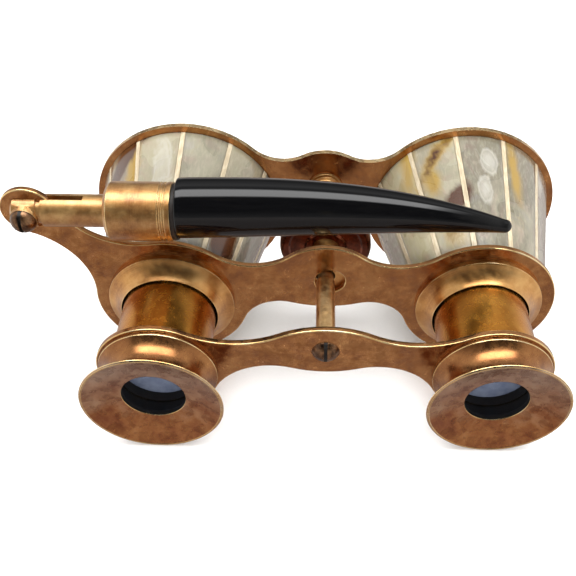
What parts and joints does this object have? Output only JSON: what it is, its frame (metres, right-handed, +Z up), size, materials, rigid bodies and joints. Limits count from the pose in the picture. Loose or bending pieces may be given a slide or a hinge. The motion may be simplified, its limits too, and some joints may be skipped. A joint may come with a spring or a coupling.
{
  "type": "opera glasses",
  "caption": "Antique brass opera glasses with mother-of-pearl barrels, dished eyecups, a central focus wheel and a horn handle that folds over the top.",
  "frame": {"origin": "on the front face of the front bridge plate, midway between the two optical axes", "axes": "+Y out of the objective end along the optical axes, +X to the user's right, +Z up, with the folded handle on top"},
  "size_m": [0.1138, 0.0587, 0.0517],
  "materials": {
    "bridge_brass": "antique brass, brown patina, semi-polished",
    "barrel_brass": "dull brass under the pearl",
    "pearl": "polished mother of pearl with yellow and brown marbling",
    "cream_pearl": "polished cream shell",
    "lens_glass": "clear polished glass",
    "dark_brass": "blackened brass",
    "turned_brass": "turned brass, light patina",
    "tube_brass": "golden brown brass with fine scratches",
    "eyecup_brass": "antique brass with a mottled face",
    "screw_brass": "darkened brass",
    "wheel_brass": "dark red-brown polished brass",
    "handle_brass": "bright antique brass",
    "steel": "plain steel",
    "washer_fibre": "dark fibre",
    "black_horn": "polished black horn"
  },
  "bodies": {
    "frame": {"front_bridge_plate": "bridge_brass", "middle_bridge_plate": "bridge_brass", "barrel_shell_left": "barrel_brass", "barrel_shell_right": "barrel_brass", "pearl_panels_left": "pearl", "pearl_panels_right": "pearl", "pearl_strips_left": "cream_pearl", "pearl_strips_right": "cream_pearl", "objective_lens_left": "lens_glass", "objective_lens_right": "lens_glass", "objective_ring_left": "dark_brass", "objective_ring_right": "dark_brass", "collar_left": "turned_brass", "collar_right": "turned_brass", "spindle_boss": "turned_brass", "boss_screw": "screw_brass"},
    "eyepieces": {"rear_bridge_plate": "bridge_brass", "focus_rod": "tube_brass", "rear_bridge_screw": "screw_brass", "draw_tube_left": "tube_brass", "draw_tube_right": "tube_brass", "eyecup_left": "eyecup_brass", "eyecup_right": "eyecup_brass", "eye_lens_left": "lens_glass", "eye_lens_right": "lens_glass", "eye_lens_ring_left": "dark_brass", "eye_lens_ring_right": "dark_brass"},
    "wheel": {"focus_wheel": "wheel_brass", "wheel_spindle": "turned_brass"},
    "handle": {"hinge_screw": "screw_brass", "handle_rod": "handle_brass", "handle_ferrule": "handle_brass", "handle_tang": "steel", "horn_washer": "washer_fibre", "horn_handle": "black_horn"}
  },
  "joints": [
    {"name": "wheel_turn", "type": "hinge", "parent": "frame", "child": "wheel", "pos_m": [0, -0.0187, 0.0062], "axis": [0, -1, 0], "range_deg": [0, 855]},
    {"name": "eyepiece_slide", "type": "slide", "parent": "frame", "child": "eyepieces", "axis": [0, 1, 0], "range_m": [0, 0.0095]},
    {"name": "handle_hinge", "type": "hinge", "parent": "frame", "child": "handle", "pos_m": [-0.0554, -0.0315, 0.0232], "axis": [0, -1, 0], "range_deg": [0, 270]}
  ],
  "couplings": [
    {"joint": "wheel_turn", "follows": "eyepiece_slide", "rad_per_m": 1570.8}
  ]
}
